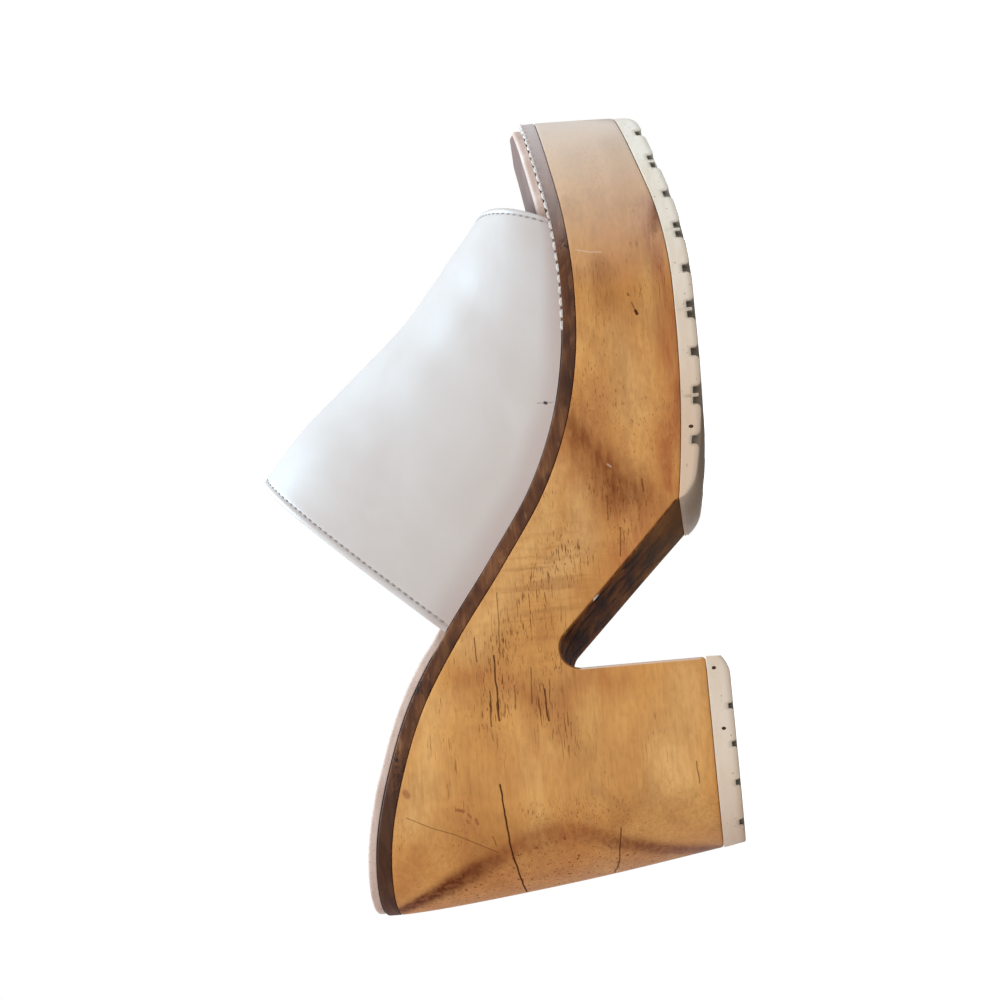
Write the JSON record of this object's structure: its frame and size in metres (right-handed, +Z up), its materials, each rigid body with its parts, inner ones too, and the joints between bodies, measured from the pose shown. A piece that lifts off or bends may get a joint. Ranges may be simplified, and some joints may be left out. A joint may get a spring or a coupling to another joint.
{
  "type": "platform sandal",
  "caption": "Open-toe, open-back platform sandal: wooden platform with block heel, notched rubber outsoles, brown midsole band and a wide white leather strap.",
  "frame": {"origin": "on the floor, under the centre of the shoe's bounding box", "axes": "+X from heel to toe, +Y towards the outer side of the foot, +Z up from the floor"},
  "size_m": [0.246, 0.0856, 0.1404],
  "materials": {
    "outsole_rubber": "matt cream rubber, slightly soiled",
    "wood": "honey-tan lacquered wood with fine dark pores",
    "brown_leather": "cut and stained leather edge, matt",
    "insole_leather": "pale unlacquered leather, matt",
    "white_leather": "smooth white leather, satin",
    "thread": "sewing thread"
  },
  "bodies": {
    "root": {"outsole_forefoot": "outsole_rubber", "outsole_heel": "outsole_rubber", "wooden_platform": "wood", "midsole": "brown_leather", "insole": "insole_leather", "upper": "white_leather"}
  },
  "joints": []
}
